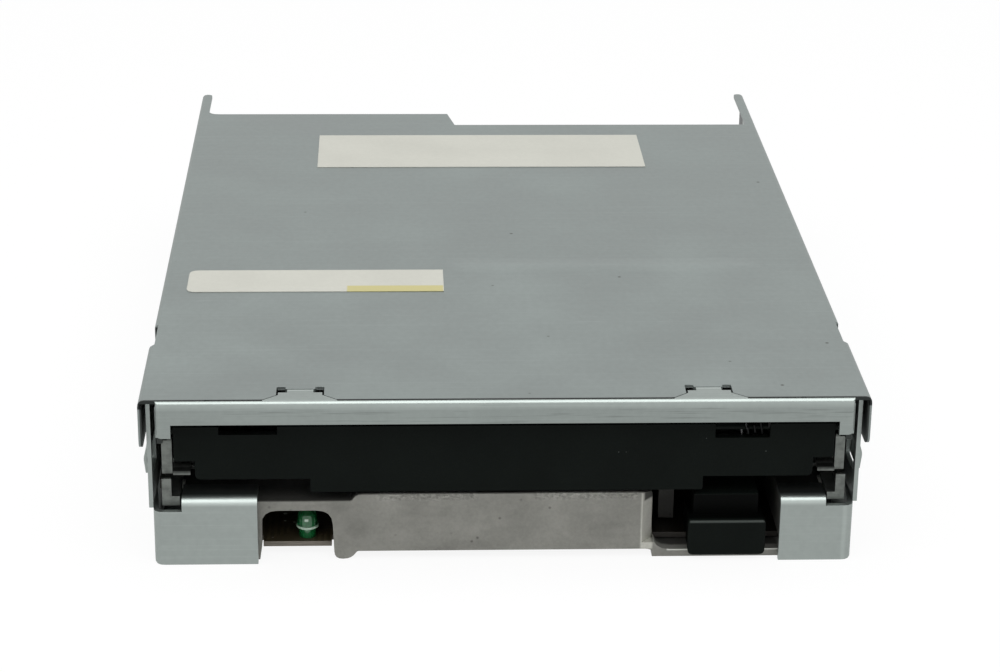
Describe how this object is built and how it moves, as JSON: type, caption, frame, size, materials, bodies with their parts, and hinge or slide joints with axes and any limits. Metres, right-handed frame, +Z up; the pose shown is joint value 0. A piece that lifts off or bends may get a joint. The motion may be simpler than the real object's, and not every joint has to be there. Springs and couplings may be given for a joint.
{
  "type": "internal floppy disk drive",
  "caption": "Slim internal 3.5-inch floppy disk drive with sheet-steel shell, black door flap, eject button, lamp, cast chassis, loading slider, spindle and head carriage.",
  "frame": {"origin": "centre of the bounding box in plan, at the bottom faces of the side frames", "axes": "+X to the right seen from the front, +Y to the rear, +Z up through the top cover"},
  "size_m": [0.102, 0.146, 0.0254],
  "materials": {
    "galvanised_steel": "plated, dull",
    "spring_wire": "bright",
    "die_casting": "as cast",
    "black_moulding": "satin",
    "circuit_laminate": "solder-mask satin",
    "moulding_compound": "matt",
    "zinc_plated": "zinc plated",
    "brass_bronze": "bright",
    "ground_steel": "ground",
    "nylon": "natural",
    "lamp_lens": "clear tinted",
    "magnet_ring": "matt",
    "label_paper": "paper"
  },
  "bodies": {
    "chassis": {"board_screw_front_left": "zinc_plated", "board_screw_front_right": "zinc_plated", "board_screw_rear_left": "zinc_plated", "board_screw_rear_right": "zinc_plated", "capacitor_can": "zinc_plated", "chassis_casting": "die_casting", "circuit_board": "circuit_laminate", "controller_chip": "moulding_compound", "density_switch": "black_moulding", "driver_chip": "moulding_compound", "flap_spring": "spring_wire", "frame_screw_front_left": "zinc_plated", "frame_screw_front_right": "zinc_plated", "frame_screw_rear_left": "zinc_plated", "frame_screw_rear_right": "zinc_plated", "front_lip": "galvanised_steel", "guide_rod": "ground_steel", "indicator_lamp": "lamp_lens", "large_label": "label_paper", "left_frame": "galvanised_steel", "motor_bracket": "galvanised_steel", "power_connector": "nylon", "right_frame": "galvanised_steel", "rod_clamp_front": "black_moulding", "rod_clamp_rear": "black_moulding", "screw_bearing": "nylon", "signal_header": "moulding_compound", "slider_spring_left": "spring_wire", "slider_spring_right": "spring_wire", "small_label": "label_paper", "spindle_bearing": "brass_bronze", "stator_core": "brass_bronze", "stepper_motor": "zinc_plated", "top_cover": "galvanised_steel", "track_sensor": "moulding_compound", "trigger_spring": "spring_wire", "write_protect_switch": "black_moulding"},
    "slider": {"eject_slider": "galvanised_steel", "eject_button": "black_moulding"},
    "holder": {"disk_holder": "galvanised_steel", "cam_pin_front_left": "ground_steel", "cam_pin_front_right": "ground_steel", "cam_pin_rear_left": "ground_steel", "cam_pin_rear_right": "ground_steel"},
    "flap": {"door_flap": "black_moulding"},
    "spindle": {"spindle_hub": "zinc_plated", "spindle_shaft": "ground_steel", "rotor_cup": "zinc_plated", "rotor_magnet": "magnet_ring"},
    "carriage": {"head_carriage": "black_moulding", "lower_head": "nylon", "arm_hinge_pin": "ground_steel"},
    "upper_arm": {"upper_head_arm": "black_moulding", "upper_head": "nylon"},
    "screw": {"lead_screw": "brass_bronze"},
    "trigger": {"trigger_lever": "black_moulding"},
    "write_protect": {"write_protect_plunger": "nylon"},
    "density": {"density_plunger": "nylon"}
  },
  "joints": [
    {"name": "eject_slide", "type": "slide", "parent": "chassis", "child": "slider", "axis": [0, -1, 0], "range_m": [0, 0.0045], "deforming": ["slider_spring_left", "slider_spring_right"]},
    {"name": "holder_drop", "type": "slide", "parent": "chassis", "child": "holder", "axis": [0, 0, -1], "range_m": [0, 0.0027]},
    {"name": "upper_arm_tilt", "type": "hinge", "parent": "carriage", "child": "upper_arm", "pos_m": [0, 0.042, 0.017], "axis": [1, 0, 0], "range_deg": [0, 11]},
    {"name": "trigger_swing", "type": "hinge", "parent": "chassis", "child": "trigger", "pos_m": [-0.03, 0.028, 0.0135], "axis": [0, 0, 1], "range_deg": [0, 25.8], "deforming": ["trigger_spring"]},
    {"name": "flap_swing", "type": "hinge", "parent": "chassis", "child": "flap", "pos_m": [0, -0.0696, 0.0198], "axis": [1, 0, 0], "range_deg": [0, 85], "stiffness_Nm_per_rad": 0.001, "deforming": ["flap_spring"]},
    {"name": "carriage_slide", "type": "slide", "parent": "chassis", "child": "carriage", "axis": [0, -1, 0], "range_m": [0, 0.0148]},
    {"name": "lead_screw_turn", "type": "hinge", "parent": "chassis", "child": "screw", "pos_m": [0.0145, 0.028, 0.0106], "axis": [0, 1, 0], "range_deg": [0, 1421]},
    {"name": "spindle_spin", "type": "hinge", "parent": "chassis", "child": "spindle", "pos_m": [0, -0.023, 0.0084], "axis": [0, 0, 1], "continuous": true},
    {"name": "write_protect_press", "type": "slide", "parent": "chassis", "child": "write_protect", "axis": [0, 0, -1], "range_m": [0, 0.001], "stiffness_N_per_m": 100},
    {"name": "density_press", "type": "slide", "parent": "chassis", "child": "density", "axis": [0, 0, -1], "range_m": [0, 0.001], "stiffness_N_per_m": 100}
  ],
  "couplings": [
    {"joint": "holder_drop", "follows": "eject_slide", "ratio": 0.6},
    {"joint": "upper_arm_tilt", "follows": "eject_slide", "rad_per_m": 42.6},
    {"joint": "trigger_swing", "follows": "eject_slide", "rad_per_m": 100},
    {"joint": "lead_screw_turn", "follows": "carriage_slide", "rad_per_m": 1675.5}
  ]
}
